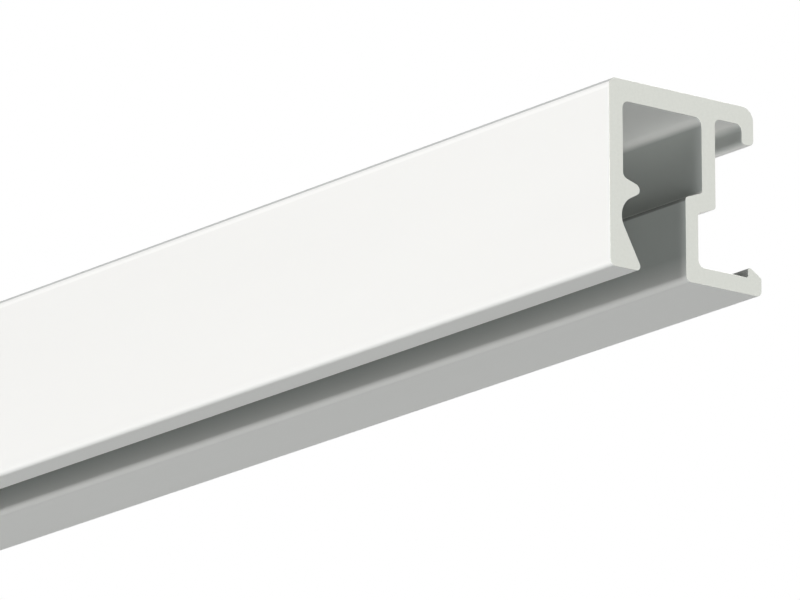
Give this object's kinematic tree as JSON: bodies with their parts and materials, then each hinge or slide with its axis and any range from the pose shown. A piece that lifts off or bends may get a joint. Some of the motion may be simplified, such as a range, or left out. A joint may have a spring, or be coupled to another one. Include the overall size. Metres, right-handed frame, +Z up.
{
  "type": "picture rail",
  "caption": "Square extruded picture rail with a hanger channel open below, a beaded lip for the hook and a rear recess for wall clips.",
  "frame": {"origin": "middle of the rail's length and depth, on the level of the undersides of its front wall and foot", "axes": "+X along the rail, -Y out of its front face into the room, +Y into the wall, +Z up as it hangs on the wall"},
  "size_m": [1, 0.014, 0.014],
  "materials": {
    "white_coat": "satin"
  },
  "bodies": {
    "root": {"rail": "white_coat"}
  },
  "joints": []
}
